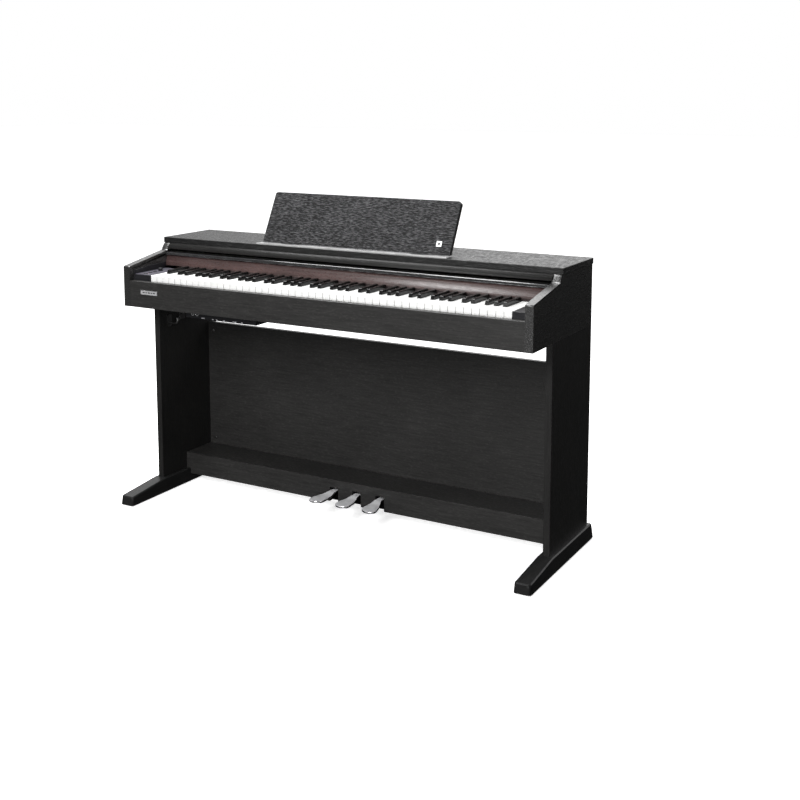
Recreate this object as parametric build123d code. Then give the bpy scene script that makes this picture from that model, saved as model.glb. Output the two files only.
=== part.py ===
"""Digital piano on a stand, in millimetres.

Frame: origin on the floor under the middle of the piano, +X to the player's right,
+Y away from the player, +Z up. Every piece is written to parts/ as its own STEP file.
"""
from build123d import *
import math
import os

# --- driving dimensions ----------------------------------------------------------------
# overall places across the depth
front = -205.0
rear = 225.0
# cabinet
half_width = 691.0
cheek_thickness = 24.0
cabinet_bottom = 642.0
arm_front_height = 768.0
arm_back_height = 798.5
arm_depth = 180.0
cove_depth = 18.0
lid_bottom = 821.4
lid_top = 838.4
lid_overhang = 2.7
lid_front = front + 196.0
board_thickness = 15.0
slip_top = 724.0
slip_thickness = 18.0
header_bottom = 803.0
# sliding key cover
cover_front = front + 173.0
cover_rear = front + 352.0
cover_underside = 783.5
cover_thickness = 6.0
grip_depth = 8.5
grip_height = 10.5
groove_depth = 8.0
groove_play = 0.8
# nameboard behind the keys
nameboard_low_y = front + 169.5
nameboard_top_y = front + 182.0
nameboard_depth = 10.0
nameboard_bulge = 2.2
felt_bottom_gap = 1.6
felt_top_gap = 8.6
# keyboard
white_pitch = 23.5
white_count = 52
key_gap = 1.0
black_width = 11.2
keyboard_left = -600.0
key_front = front + 22.0
key_head_length = 49.0
key_visible_length = 145.0
key_top = 742.4
key_bottom = 720.0
black_rise = 12.0
black_slope_depth = 4.5
key_rear = front + 262.0
pivot_y = front + 250.0
pivot_z = 731.0
pivot_radius = 3.0
running_clearance = 0.05
chassis_reach = 15.0
contact_board_z = 692.0
# stand
leg_thickness = 20.0
leg_front = front + 136.7
foot_width = 51.0
foot_draft = 3.0
foot_front = -235.0
foot_rear = 235.0
foot_bottom = 3.0
foot_nose_height = 31.5
foot_post_height = 48.0
glide_radius = 13.0
rear_panel_front = front + 388.0
rear_panel_bottom = 60.0
rear_panel_top = 526.5
kick_front = front + 257.6
kick_bottom = 29.4
kick_top = 100.6
# steel angles and screws between the stand and the cabinet
bracket_steel = 2.0
bracket_width = 27.0
bracket_height = 82.0
bracket_reach = 32.0
bracket_fronts = (front + 235.0, front + 350.0)
screw_head_radius = 4.0
screw_head_height = 2.2
screw_shank_radius = 1.9
screw_length = 12.0
# hook for headphones
hook_y = front + 186.0
hook_z = 566.0
hook_reach = 34.0
hook_rise = 12.0
hook_wire_radius = 3.5
# pedals
pedal_pitch = 83.0
pedal_splay = 13.0
pedal_slot_width = 31.0
pedal_slot_top = 76.0
pedal_shank_width = 20.0
pedal_paddle_width = 48.0
pedal_thickness = 7.0
pedal_tip_y = front + 157.0
pedal_wide_y = pedal_tip_y + 20.0
pedal_flat_y = pedal_tip_y + 62.0
pedal_neck_y = kick_front - 6.0
pedal_tip_top = 62.0
pedal_top = 66.5
pedal_pivot_y = front + 335.0
pedal_rear = front + 347.0
pedal_pivot_z = 66.0
pedal_plate_top = 33.0
pedal_shaft_radius = 4.0
pedal_rib = 6.0
# pedal springs
spring_y = front + 300.0
spring_radius = 7.0
spring_wire_radius = 1.0
spring_pitch = 5.2
# music rest
rest_width = 655.0
rest_length = 169.0
rest_thickness = 14.0
rest_lean = 27.0
rest_front = front + 232.0
rest_bottom = 842.0
rest_shift = 4.0
rest_corner = 8.0
hinge_spacing = 455.0
hinge_pin_y = front + 254.6
hinge_pin_z = 844.2
hinge_pin_radius = 2.0
hinge_barrel_radius = 4.6
hinge_block_width = 46.0
hinge_ear_width = 8.0
hinge_leaf_length = 26.0
hinge_plate_front = hinge_pin_y - 38.0
hinge_plate_thickness = 3.0
ledge_width = 663.0
ledge_front = front + 197.5
ledge_back = front + 226.0
ledge_thickness = 3.0
ledge_lip_height = 4.2
# controls at the left end of the keyboard
panel_left = -664.0
panel_right = -603.0
panel_front = front + 23.0
panel_back = front + 165.0
panel_top = 743.0
panel_thickness = 1.6
knob_x = -635.0
knob_y = front + 108.0
knob_radius = 7.5
knob_height = 9.0
knob_gap = 0.6
spindle_radius = 3.0
spindle_length = 14.0
button_rows = (front + 38.0, front + 60.0, front + 82.0)
button_width = 11.0
button_depth = 7.0
button_rise = 1.8
button_body = 3.5
button_play = 0.4
# end blocks beside the keys
end_block_front = front + 19.0
end_block_back = front + 168.0
end_block_gap = 1.5
trim_thickness = 3.0
# jack box under the keybed
jack_box_left = -495.0
jack_box_right = -229.0
jack_box_front = front + 60.0
jack_box_back = front + 160.0
jack_box_bottom = 613.0
jack_box_wall = 2.5
jack_radius = 3.2
jack_depth = 16.0
jack_z = 627.0
jack_places = (jack_box_left + 27.0, jack_box_left + 44.0)
inlet_x = jack_box_right - 24.0
inlet_radius = 2.8
inlet_depth = 9.0
inlet_pin_radius = 1.0
# speakers and main board
speaker_x = 480.0
speaker_y = front + 344.0
speaker_opening = 48.0
speaker_flange = 8.0
magnet_radius = 32.0
board_half_width = 150.0
board_front = front + 300.0
board_back = front + 400.0
post_height = 12.0
circuit_thickness = 1.6

arm_slope = math.degrees(math.atan2(arm_back_height - arm_front_height, arm_depth))
keyboard_right = keyboard_left + white_count * white_pitch
inside = half_width - cheek_thickness
leg_inside = half_width - leg_thickness
keybed_top = cabinet_bottom + board_thickness
kick_back = kick_front + board_thickness
slot_width = black_width + key_gap
lean_y = math.sin(math.radians(rest_lean))
lean_z = math.cos(math.radians(rest_lean))
rest_level = rest_thickness / lean_z
black_names = ("c_sharp", "d_sharp", "f_sharp", "g_sharp", "a_sharp")
white_names = ("c", "d", "e", "f", "g", "a", "b")
pedal_names = ("left", "centre", "right")


# --- helpers ---------------------------------------------------------------------------
def block(x0, x1, y0, y1, z0, z1):
    """Box between two corners."""
    centre = Pos((x0 + x1) / 2, (y0 + y1) / 2, (z0 + z1) / 2)
    return centre * Box(x1 - x0, y1 - y0, z1 - z0)


def prism_x(points, x0, x1):
    """Prism along X with an outline of (y, z) points."""
    outline = Polyline(*[(x0, y, z) for y, z in points], close=True)
    return extrude(make_face(outline), amount=x1 - x0, dir=(1, 0, 0))


def rod(start, direction, radius, length):
    """Cylinder from a start point along a direction."""
    plane = Plane(origin=start, z_dir=direction)
    return plane * Cylinder(radius, length, align=(Align.CENTER, Align.CENTER, Align.MIN))


def mirror_x(shape):
    """Copy of a shape on the other side of the middle plane."""
    return mirror(shape, about=Plane.YZ)


def both_sides(shape):
    """The shape and its mirror image as one group of solids."""
    return Compound(children=[*shape.solids(), *mirror_x(shape).solids()])


def group(shapes):
    """Separate solids kept together as one piece of the model."""
    solids = []
    for shape in shapes:
        solids.extend(shape.solids())
    return Compound(children=solids)


def edges_along(shape, axis, picker):
    """Edges parallel to an axis that a test on their centre picks."""
    return [edge for edge in shape.edges().filter_by(axis) if picker(edge.center())]


def cover_height(y):
    """Height of the key cover's underside at a place along the depth."""
    return cover_underside + math.tan(math.radians(arm_slope)) * (y - cover_front)


# --- fasteners of the stand ------------------------------------------------------------
def screw_places():
    """Places and directions of the stand's screws on the left side, heads outwards."""
    wall = -leg_inside + bracket_steel
    edge = -leg_inside + 22.0
    places = []
    for y0 in bracket_fronts:
        middle = y0 + bracket_width / 2
        for drop in (22.0, 66.0):
            places.append(((wall, middle, cabinet_bottom - drop), (-1, 0, 0)))
        places.append(((-leg_inside + 20.0, middle, cabinet_bottom - bracket_steel), (0, 0, 1)))
    for z in (rear_panel_top - 28.0, rear_panel_bottom + 60.0):
        places.append(((edge, rear_panel_front, z), (0, 1, 0)))
    places.append(((edge, kick_back, 66.0), (0, -1, 0)))
    return places


def screw(place, direction):
    """One pan-head screw, its head on the surface and its shank in the material."""
    back = tuple(-step for step in direction)
    crown = tuple(p + s * screw_head_height for p, s in zip(place, back))
    head = rod(place, back, screw_head_radius, screw_head_height)
    head = fillet(head.edges().filter_by(GeomType.CIRCLE).sort_by_distance(place)[-1], 1.2)
    socket = rod(crown, direction, 1.5, 1.4)
    return head + rod(place, direction, screw_shank_radius, screw_length) - socket


def drill_screws(shape):
    """The shape with clear holes for the stand's screws on both sides."""
    hole_radius = screw_shank_radius + running_clearance
    for place, direction in screw_places():
        hole = rod(place, direction, hole_radius, screw_length + 0.2)
        shape = shape - hole - mirror_x(hole)
    return shape


def stand_screws():
    screws = [screw(place, direction) for place, direction in screw_places()]
    return both_sides(group(screws))


# --- stand -----------------------------------------------------------------------------
def left_leg_panel():
    leg = block(-half_width, -leg_inside, leg_front, rear, foot_post_height, cabinet_bottom)
    leg = chamfer(edges_along(leg, Axis.Z, lambda c: c.Y < leg_front + 1.0), 0.8)
    return drill_screws(leg)


def left_foot():
    """Foot with drafted sides, a top that rises to the leg and rounded nose corners."""
    middle = -half_width + leg_thickness / 2
    half = foot_width / 2
    outline = [
        (foot_front, foot_bottom),
        (foot_front + foot_draft, foot_nose_height),
        (leg_front - 6.0, foot_post_height),
        (foot_rear - 3 * foot_draft, foot_post_height),
        (foot_rear, foot_bottom),
    ]
    foot = prism_x(outline, middle - half, middle + half)
    section = Polyline(
        (middle - half, foot_front, foot_bottom),
        (middle + half, foot_front, foot_bottom),
        (middle + half - foot_draft, foot_front, foot_post_height),
        (middle - half + foot_draft, foot_front, foot_post_height),
        close=True,
    )
    foot = foot & extrude(make_face(section), amount=foot_rear - foot_front, dir=(0, 1, 0))
    upright = [edge for edge in foot.edges() if edge.bounding_box().size.Z > 20.0]
    foot = fillet([edge for edge in upright if edge.center().Y < 0.0], 9.0)
    rim = [edge for edge in foot.edges() if edge.center().Z > foot_nose_height - 1.0]
    rim = [edge for edge in rim if edge.bounding_box().size.Y > 60.0]
    return chamfer(rim, 3.0)


def foot_glides():
    """Six rubber discs, three under each foot."""
    middle = half_width - leg_thickness / 2
    discs = []
    for y in (foot_front + 2 * glide_radius, 10.0, foot_rear - 2 * glide_radius):
        disc = rod((-middle, y, 0.0), (0, 0, 1), glide_radius, foot_bottom)
        discs.append(chamfer(disc.edges().filter_by(GeomType.CIRCLE).sort_by(Axis.Z)[0], 0.8))
    return both_sides(group(discs))


def rear_panel():
    panel = block(-leg_inside, leg_inside, rear_panel_front, rear_panel_front + board_thickness,
                  rear_panel_bottom, rear_panel_top)
    return drill_screws(panel)


def kick_panel():
    """Low front board between the legs, with three slots that are open at the bottom."""
    low_y = kick_front - 1.0
    high_y = kick_back + 1.0
    low_z = kick_bottom - 1.0
    panel = block(-leg_inside, leg_inside, kick_front, kick_back, kick_bottom, kick_top)
    rim = edges_along(panel, Axis.X, lambda c: c.Z > kick_top - 1.0 and c.Y < kick_front + 1.0)
    panel = chamfer(rim, 0.8)
    half = pedal_slot_width / 2
    for step in (-1, 0, 1):
        x = step * pedal_pitch
        panel = panel - block(x - half, x + half, low_y, high_y, low_z, pedal_slot_top)
    foot_inside = half_width - leg_thickness / 2 - foot_width / 2
    notch = block(foot_inside - 0.5, half_width, low_y, high_y, low_z, foot_post_height)
    return drill_screws(panel - notch - mirror_x(notch))


def pedal_shelf():
    return block(-leg_inside, leg_inside, kick_back, rear_panel_front,
                 kick_top - board_thickness, kick_top)


def stand_brackets():
    """Steel angles that hold the cabinet on the legs."""
    angles = []
    for y0 in bracket_fronts:
        y1 = y0 + bracket_width
        wall = block(-leg_inside, -leg_inside + bracket_steel, y0, y1,
                     cabinet_bottom - bracket_height, cabinet_bottom)
        flange = block(-leg_inside, -leg_inside + bracket_reach, y0, y1,
                       cabinet_bottom - bracket_steel, cabinet_bottom)
        angles.append(drill_screws(wall + flange))
    return both_sides(group(angles))


def headphone_hook():
    """Bent steel hook on the inside of the left leg."""
    wall = -leg_inside
    plate = block(wall, wall + 3.0, hook_y - 9.0, hook_y + 9.0, hook_z - 20.0, hook_z + 20.0)
    plate = fillet(plate.edges().filter_by(Axis.X), 6.0)
    low = hook_z - 8.0
    start = (wall + 2.0, hook_y, low)
    corner = (wall + hook_reach, hook_y, low)
    tip = (wall + hook_reach, hook_y, hook_z + hook_rise)
    path = FilletPolyline(start, corner, tip, radius=10.0)
    section = Plane(origin=start, z_dir=(1, 0, 0)) * Circle(hook_wire_radius)
    return plate + sweep(section, path=path)


# --- pedals ----------------------------------------------------------------------------
def pedal_plan(x, splay):
    """Outline from above: a broad paddle turned outwards by its splay and a narrow shank."""
    half_shank = pedal_shank_width / 2
    half_paddle = pedal_paddle_width / 2
    turn = splay / (pedal_neck_y - pedal_tip_y)
    taper = (half_paddle - half_shank) / (pedal_neck_y - pedal_wide_y)
    wide_x = x + turn * (pedal_neck_y - pedal_wide_y)
    tip_x = x + splay
    corner = 0.7 * half_paddle
    corner_y = pedal_tip_y + 7.0
    neck_left = (x - half_shank, pedal_neck_y)
    neck_right = (x + half_shank, pedal_neck_y)
    wide_left = (wide_x - half_paddle, pedal_wide_y)
    wide_right = (wide_x + half_paddle, pedal_wide_y)
    rear_left = (x - half_shank, pedal_rear)
    rear_right = (x + half_shank, pedal_rear)
    return [
        Line(rear_left, neck_left),
        Spline(neck_left, wide_left, tangents=[(turn - taper, -1), (turn, -1)]),
        Spline(wide_left, (tip_x - corner, corner_y), (tip_x, pedal_tip_y),
               (tip_x + corner, corner_y), wide_right, tangents=[(turn, -1), (-turn, 1)]),
        Spline(wide_right, neck_right, tangents=[(-turn, 1), (-turn - taper, 1)]),
        Line(neck_right, rear_right),
        Line(rear_right, rear_left),
    ]


def pedal_side(x):
    """Outline from the side: a level shank that dips a little towards the paddle."""
    shank_bottom = pedal_top - pedal_thickness
    paddle_bottom = pedal_tip_top - pedal_thickness + 1.0
    return [
        Line((x, pedal_rear, pedal_top), (x, pedal_neck_y, pedal_top)),
        Spline((x, pedal_neck_y, pedal_top), (x, pedal_flat_y, pedal_tip_top),
               tangents=[(0, -1, 0), (0, -1, 0)]),
        Spline((x, pedal_flat_y, pedal_tip_top), (x, pedal_tip_y, pedal_tip_top - 1.5),
               tangents=[(0, -1, 0), (0, -1, -0.12)]),
        Line((x, pedal_tip_y, pedal_tip_top - 1.5), (x, pedal_tip_y, paddle_bottom)),
        Line((x, pedal_tip_y, paddle_bottom), (x, pedal_flat_y, paddle_bottom)),
        Spline((x, pedal_flat_y, paddle_bottom), (x, pedal_neck_y, shank_bottom),
               tangents=[(0, 1, 0), (0, 1, 0)]),
        Line((x, pedal_neck_y, shank_bottom), (x, pedal_rear, shank_bottom)),
        Line((x, pedal_rear, shank_bottom), (x, pedal_rear, pedal_top)),
    ]


def pedal(x, splay):
    """Cast lever with a bored boss at its rear end."""
    reach = pedal_paddle_width / 2
    half_shank = pedal_shank_width / 2
    height = 60.0
    plan = Pos(0, 0, pedal_tip_top - height / 2) * make_face(Curve() + pedal_plan(x, splay))
    column = extrude(plan, amount=height, dir=(0, 0, 1))
    ribbon = extrude(make_face(Curve() + pedal_side(x)), amount=2 * reach, dir=(1, 0, 0), both=True)
    lever = column & ribbon
    boss = rod((x - half_shank, pedal_pivot_y, pedal_pivot_z), (1, 0, 0), 2 * pedal_shaft_radius,
               pedal_shank_width)
    bore = rod((x - reach, pedal_pivot_y, pedal_pivot_z), (1, 0, 0),
               pedal_shaft_radius + running_clearance, pedal_paddle_width)
    return lever + boss - bore


def pedal_pivot_shaft():
    half = pedal_pitch + 45.0
    return rod((-half, pedal_pivot_y, pedal_pivot_z), (1, 0, 0), pedal_shaft_radius, 2 * half)


def pedal_frame():
    """Steel frame under the shelf: top plate, base plate and four ribs that carry the shaft."""
    half = pedal_pitch + 45.0
    top = kick_top - board_thickness
    frame = block(-half, half, pedal_pivot_y - 22.0, pedal_pivot_y + 22.0, top - 3.0, top)
    frame = frame + block(-half, half, kick_back, rear_panel_front, pedal_plate_top - 2.0, pedal_plate_top)
    for place in (-1.5, -0.5, 0.5, 1.5):
        outer = place * pedal_pitch
        inner = outer - math.copysign(pedal_rib, outer)
        frame = frame + block(min(outer, inner), max(outer, inner), pedal_pivot_y - 14.0,
                              pedal_pivot_y + 14.0, pedal_plate_top, top)
    bore = rod((-half, pedal_pivot_y, pedal_pivot_z), (1, 0, 0),
               pedal_shaft_radius + running_clearance, 2 * half)
    return frame - bore


def pedal_spring(x):
    """Compression spring between the base plate and the lever."""
    low = pedal_plate_top + spring_wire_radius
    high = pedal_top - pedal_thickness - spring_wire_radius
    path = Helix(pitch=spring_pitch, height=high - low, radius=spring_radius)
    start = path @ 0
    section = Plane(origin=start, z_dir=path % 0) * Circle(spring_wire_radius)
    return Pos(x, spring_y, low) * sweep(section, path=path, is_frenet=True)


# --- cabinet ---------------------------------------------------------------------------
def cheek_outline():
    """Side outline of a cheek: straight front, sloped arm, hollow cove, straight back."""
    cove_y = front + arm_depth
    cove_top = cove_y + cove_depth
    mid_y = cove_y + cove_depth * 0.36
    mid_z = arm_back_height + (lid_bottom - arm_back_height) * 0.58
    return [
        Line((front, cabinet_bottom), (front, arm_front_height)),
        Line((front, arm_front_height), (cove_y, arm_back_height)),
        ThreePointArc((cove_y, arm_back_height), (cove_y + 7.0, mid_z - 2.0), (cove_top, lid_bottom)),
        Line((cove_top, lid_bottom), (rear, lid_bottom)),
        Line((rear, lid_bottom), (rear, cabinet_bottom)),
        Line((rear, cabinet_bottom), (front, cabinet_bottom)),
    ]


def left_cheek():
    """Side of the cabinet with a groove in which the key cover slides."""
    face = make_face(Curve() + cheek_outline())
    upright = Plane(origin=(-half_width, 0, 0), x_dir=(0, 1, 0), z_dir=(1, 0, 0)) * face
    cheek = extrude(upright, amount=cheek_thickness, dir=(1, 0, 0))
    nose = edges_along(cheek, Axis.X, lambda c: c.Y < front + 1.0 and c.Z > cabinet_bottom + 50.0)
    cheek = fillet(nose, 5.0)
    groove_front = front + 12.0
    groove_back = cover_rear + 6.0
    groove = prism_x([
        (groove_front, cover_height(groove_front) - groove_play),
        (groove_back, cover_height(groove_back) - groove_play),
        (groove_back, cover_height(groove_back) + cover_thickness + groove_play),
        (groove_front, cover_height(groove_front) + cover_thickness + groove_play),
    ], -inside - groove_depth, -inside + 1.0)
    return cheek - groove


def top_lid():
    lid = block(-half_width - lid_overhang, half_width + lid_overhang, lid_front, rear,
                lid_bottom, lid_top)
    rim = [edge for edge in lid.edges() if edge.center().Z > lid_top - 0.5]
    return fillet(rim, 2.0)


def lid_header():
    """Moulding under the lid whose front follows the hollow of the cheeks."""
    low_y = front + arm_depth + 1.5
    high_y = front + arm_depth + cove_depth - 1.0
    back_y = high_y + board_thickness
    outline = [
        Line((low_y, header_bottom), (back_y, header_bottom)),
        Line((back_y, header_bottom), (back_y, lid_bottom)),
        Line((back_y, lid_bottom), (high_y, lid_bottom)),
        ThreePointArc((high_y, lid_bottom), (low_y + 5.0, header_bottom + 10.5), (low_y, header_bottom)),
    ]
    upright = Plane(origin=(-inside, 0, 0), x_dir=(0, 1, 0), z_dir=(1, 0, 0))
    return extrude(upright * make_face(Curve() + outline), amount=2 * inside, dir=(1, 0, 0))


def key_slip():
    slip = block(-inside, inside, front, front + slip_thickness, cabinet_bottom, slip_top)
    rim = edges_along(slip, Axis.X, lambda c: c.Z > slip_top - 1.0 and c.Y < front + 1.0)
    return chamfer(rim, 1.2)


def bottom_board():
    board = block(-inside, inside, front + slip_thickness, rear - board_thickness,
                  cabinet_bottom, keybed_top)
    for x in (-speaker_x, speaker_x):
        board = board - rod((x, speaker_y, cabinet_bottom - 1.0), (0, 0, 1), speaker_opening,
                            board_thickness + 2.0)
    return drill_screws(board)


def back_board():
    return block(-inside, inside, rear - board_thickness, rear, cabinet_bottom, lid_bottom)


# --- key cover and nameboard -----------------------------------------------------------
def key_cover():
    """Thin sloped board that slides forward over the keys."""
    y0 = cover_front + grip_depth
    reach = inside + groove_depth - groove_play
    lift = cover_thickness / math.cos(math.radians(arm_slope))
    return prism_x([
        (y0, cover_height(y0)),
        (cover_rear, cover_height(cover_rear)),
        (cover_rear, cover_height(cover_rear) + lift),
        (y0, cover_height(y0) + lift),
    ], -reach, reach)


def key_cover_grip():
    """Rounded bar along the cover's front edge with a finger groove."""
    reach = inside - groove_play
    low = cover_height(cover_front)
    bar = block(-reach, reach, cover_front, cover_front + grip_depth, low, low + grip_height)
    bar = fillet(edges_along(bar, Axis.X, lambda c: c.Y < cover_front + 1.0), 2.2)
    groove = block(-reach - 1.0, reach + 1.0, cover_front - 1.0, cover_front + 1.6, low + 4.2, low + 5.8)
    return bar - groove


def nameboard():
    """Tilted board above the back of the keys, with a slightly bulging front."""
    top_z = cover_height(nameboard_top_y) - 3.5
    low_z = key_top + felt_top_gap
    middle_y = (nameboard_low_y + nameboard_top_y) / 2
    middle_z = (low_z + top_z) / 2
    low = (nameboard_low_y, low_z)
    top = (nameboard_top_y, top_z)
    back_top = (nameboard_top_y + nameboard_depth, top_z)
    back_low = (nameboard_low_y + nameboard_depth, low_z)
    outline = [
        ThreePointArc(low, (middle_y - nameboard_bulge, middle_z + 1.0), top),
        Line(top, back_top),
        Line(back_top, back_low),
        Line(back_low, low),
    ]
    upright = Plane(origin=(-inside, 0, 0), x_dir=(0, 1, 0), z_dir=(1, 0, 0))
    return extrude(upright * make_face(Curve() + outline), amount=2 * inside, dir=(1, 0, 0))


def key_felt():
    """Felt strip between the nameboard and the keys."""
    low_y = nameboard_low_y + 1.0
    return block(keyboard_left, keyboard_right, low_y, low_y + 7.0,
                 key_top + felt_bottom_gap, key_top + felt_top_gap)


def side_trims():
    """Plastic strips on the inner faces of the arms, beside the end blocks."""
    y0 = end_block_front + 1.0
    y1 = end_block_back
    outline = [
        (y0, panel_top),
        (y0 + 1.0, panel_top + 11.5),
        (y0 + 68.0, panel_top + 18.0),
        (y1, panel_top + 19.5),
        (y1, panel_top),
    ]
    return both_sides(prism_x(outline, -inside, -inside + trim_thickness))


# --- keyboard --------------------------------------------------------------------------
def octave_slots():
    """Left edge and width, from the C of an octave, of every key's head and tail."""
    rows = {}
    for first, names in ((0, ("c", "d", "e")), (3, ("f", "g", "a", "b"))):
        count = len(names)
        tail = (count * white_pitch - (count - 1) * slot_width) / count
        for i, name in enumerate(names):
            left = first * white_pitch + i * (tail + slot_width)
            rows[name] = ((first + i) * white_pitch, left, tail)
            if i < count - 1:
                rows[name + "_sharp"] = (None, left + tail, slot_width)
    return rows


def pivot_bore(x0, x1):
    return rod((x0 - 1.0, pivot_y, pivot_z), (1, 0, 0), pivot_radius + running_clearance, x1 - x0 + 2.0)


def white_key(head_left, tail_left, tail_right):
    """Wide head, narrow tail beside the black keys and a bored rear end."""
    margin = key_gap / 2
    head_back = key_front + key_head_length
    head = block(head_left + margin, head_left + white_pitch - margin, key_front, head_back,
                 key_bottom, key_top)
    head = fillet(edges_along(head, Axis.Z, lambda c: c.Y < key_front + 1.0), 0.8)
    head = fillet(edges_along(head, Axis.X, lambda c: c.Z > key_top - 1.0 and c.Y < key_front + 1.0), 0.6)
    tail = block(tail_left + margin, tail_right - margin, head_back, key_rear, key_bottom, key_top)
    return head + tail - pivot_bore(tail_left, tail_right)


def black_key(left, right):
    """Raised key with a steep front and narrowed top on a low lever."""
    x0 = left + key_gap / 2
    x1 = right - key_gap / 2
    nose = key_front + key_head_length + 1.5
    crest_y = nose + black_slope_depth
    crest = key_top + black_rise
    end = key_front + key_visible_length
    low = key_bottom + 2.0
    raised = prism_x([(nose, low), (nose, key_top + 1.5), (crest_y, crest), (end, crest), (end, low)], x0, x1)
    ridges = edges_along(raised, Axis.Y, lambda c: c.Z > crest - 1.0)
    raised = chamfer(ridges, 1.3)
    lip = edges_along(raised, Axis.X, lambda c: c.Z > crest - 1.0 and c.Y < crest_y + 1.0)
    raised = chamfer(lip, 1.0)
    lever = block(x0, x1, end, key_rear, low, key_top)
    return raised + lever - pivot_bore(left, right)


def key_group(name):
    """All keys of one pitch class, from the lowest A to the highest C."""
    head, left, width = octave_slots()[name]
    lowest = keyboard_left + 2 * white_pitch
    keys = []
    for octave in range(-1, 8):
        origin = lowest + octave * 7 * white_pitch
        low = origin + (left if head is None else head)
        high = low + (width if head is None else white_pitch)
        if low < keyboard_left - key_gap or high > keyboard_right + key_gap:
            continue
        if head is None:
            keys.append(black_key(low, high))
            continue
        tail_left = keyboard_left if low < keyboard_left + key_gap else origin + left
        tail_right = keyboard_right if high > keyboard_right - key_gap else origin + left + width
        keys.append(white_key(low, tail_left, tail_right))
    return group(keys)


def key_pivot_rod():
    return rod((keyboard_left - 8.0, pivot_y, pivot_z), (1, 0, 0), pivot_radius,
               keyboard_right - keyboard_left + 16.0)


def key_chassis():
    """Moulded tray under the keys with a front rail, a middle rail and two rod supports."""
    plate_top = keybed_top + 3.0
    x0 = keyboard_left + 0.5
    x1 = keyboard_right - 0.5
    y0 = pivot_y - chassis_reach
    y1 = pivot_y + chassis_reach
    tray = block(x0, x1, front + 24.0, front + 275.0, keybed_top, plate_top)
    tray = tray + block(x0, x1, front + 30.0, front + 44.0, plate_top, key_bottom - 13.0)
    tray = tray + block(x0, x1, front + 188.0, front + 200.0, plate_top, key_bottom - 5.0)
    for x in (keyboard_left - 7.0, keyboard_right + 2.0):
        tray = tray + block(x, x + 5.0, y0, y1, keybed_top, key_top)
        tray = tray + block(min(x, x0), max(x + 5.0, x1), y0, y1, keybed_top, plate_top)
    posts = 8
    step = (x1 - x0 - 40.0) / (posts - 1)
    for i in range(posts):
        foot = (x0 + 20.0 + i * step, front + 125.0, keybed_top)
        tray = tray + rod(foot, (0, 0, 1), 5.0, contact_board_z - keybed_top)
    bore = rod((keyboard_left - 20.0, pivot_y, pivot_z), (1, 0, 0),
               pivot_radius + running_clearance, keyboard_right - keyboard_left + 40.0)
    return tray - bore


def key_contact_board():
    """Long printed board under the keys with one rubber contact strip."""
    x0 = keyboard_left + 6.0
    x1 = keyboard_right - 6.0
    top = contact_board_z + circuit_thickness
    board = block(x0, x1, front + 100.0, front + 150.0, contact_board_z, top)
    return board + block(x0, x1, front + 112.0, front + 124.0, top, top + 5.4)


# --- end blocks and controls -----------------------------------------------------------
def left_end_block():
    return block(-inside, keyboard_left - end_block_gap, end_block_front, end_block_back,
                 keybed_top, panel_top - panel_thickness)


def right_end_block():
    return block(keyboard_right + end_block_gap, inside, end_block_front, end_block_back,
                 keybed_top, panel_top)


def control_panel():
    """Thin plate on the left end block."""
    return block(panel_left, panel_right, panel_front, panel_back,
                 panel_top - panel_thickness, panel_top)


def control_wells(shape):
    """The shape with wells for the knob's spindle and the button stems."""
    half_x = button_width / 2 + button_play
    half_y = button_depth / 2 + button_play
    shape = shape - rod((knob_x, knob_y, panel_top - spindle_length), (0, 0, 1),
                        spindle_radius + running_clearance, spindle_length + 5.0)
    for y in button_rows:
        shape = shape - block(knob_x - half_x, knob_x + half_x, y - half_y, y + half_y,
                              panel_top - 6.0, panel_top + 1.0)
    return shape


def volume_knob():
    """Round knob with a spindle that turns in the end block."""
    cap = rod((knob_x, knob_y, panel_top + knob_gap), (0, 0, 1), knob_radius, knob_height)
    cap = fillet(cap.edges().filter_by(GeomType.CIRCLE).sort_by(Axis.Z)[-1], 1.5)
    mark = block(knob_x - 0.5, knob_x + 0.5, knob_y + 2.0, knob_y + knob_radius + 1.0,
                 panel_top + knob_height, panel_top + knob_height + 2.0)
    spindle = rod((knob_x, knob_y, panel_top - spindle_length + 1.0), (0, 0, 1), spindle_radius,
                  spindle_length)
    return cap + spindle - mark


def push_button(y):
    """Rectangular push button whose body slides in its well."""
    half_x = button_width / 2
    half_y = button_depth / 2
    button = block(knob_x - half_x, knob_x + half_x, y - half_y, y + half_y,
                   panel_top - button_body, panel_top + button_rise)
    return fillet(button.edges().filter_by(Axis.Z), 1.2)


# --- electronics -----------------------------------------------------------------------
def jack_box():
    """Hollow socket box under the keybed: two headphone jacks and a power inlet with a centre pin."""
    wall = jack_box_wall
    box = block(jack_box_left, jack_box_right, jack_box_front, jack_box_back,
                jack_box_bottom, cabinet_bottom)
    box = box - block(jack_box_left + wall, jack_box_right - wall,
                      jack_box_front + jack_depth + 6.0, jack_box_back - wall,
                      jack_box_bottom + wall, cabinet_bottom - wall)
    rim = edges_along(box, Axis.X, lambda c: c.Z < jack_box_bottom + 0.5 and c.Y < jack_box_front + 0.5)
    box = chamfer(rim, 2.0)
    for x in jack_places:
        box = box - rod((x, jack_box_front, jack_z), (0, 1, 0), jack_radius, jack_depth)
    box = box - rod((inlet_x, jack_box_front, jack_z), (0, 1, 0), inlet_radius, inlet_depth)
    return box + rod((inlet_x, jack_box_front + 1.0, jack_z), (0, 1, 0), inlet_pin_radius, inlet_depth)


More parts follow.
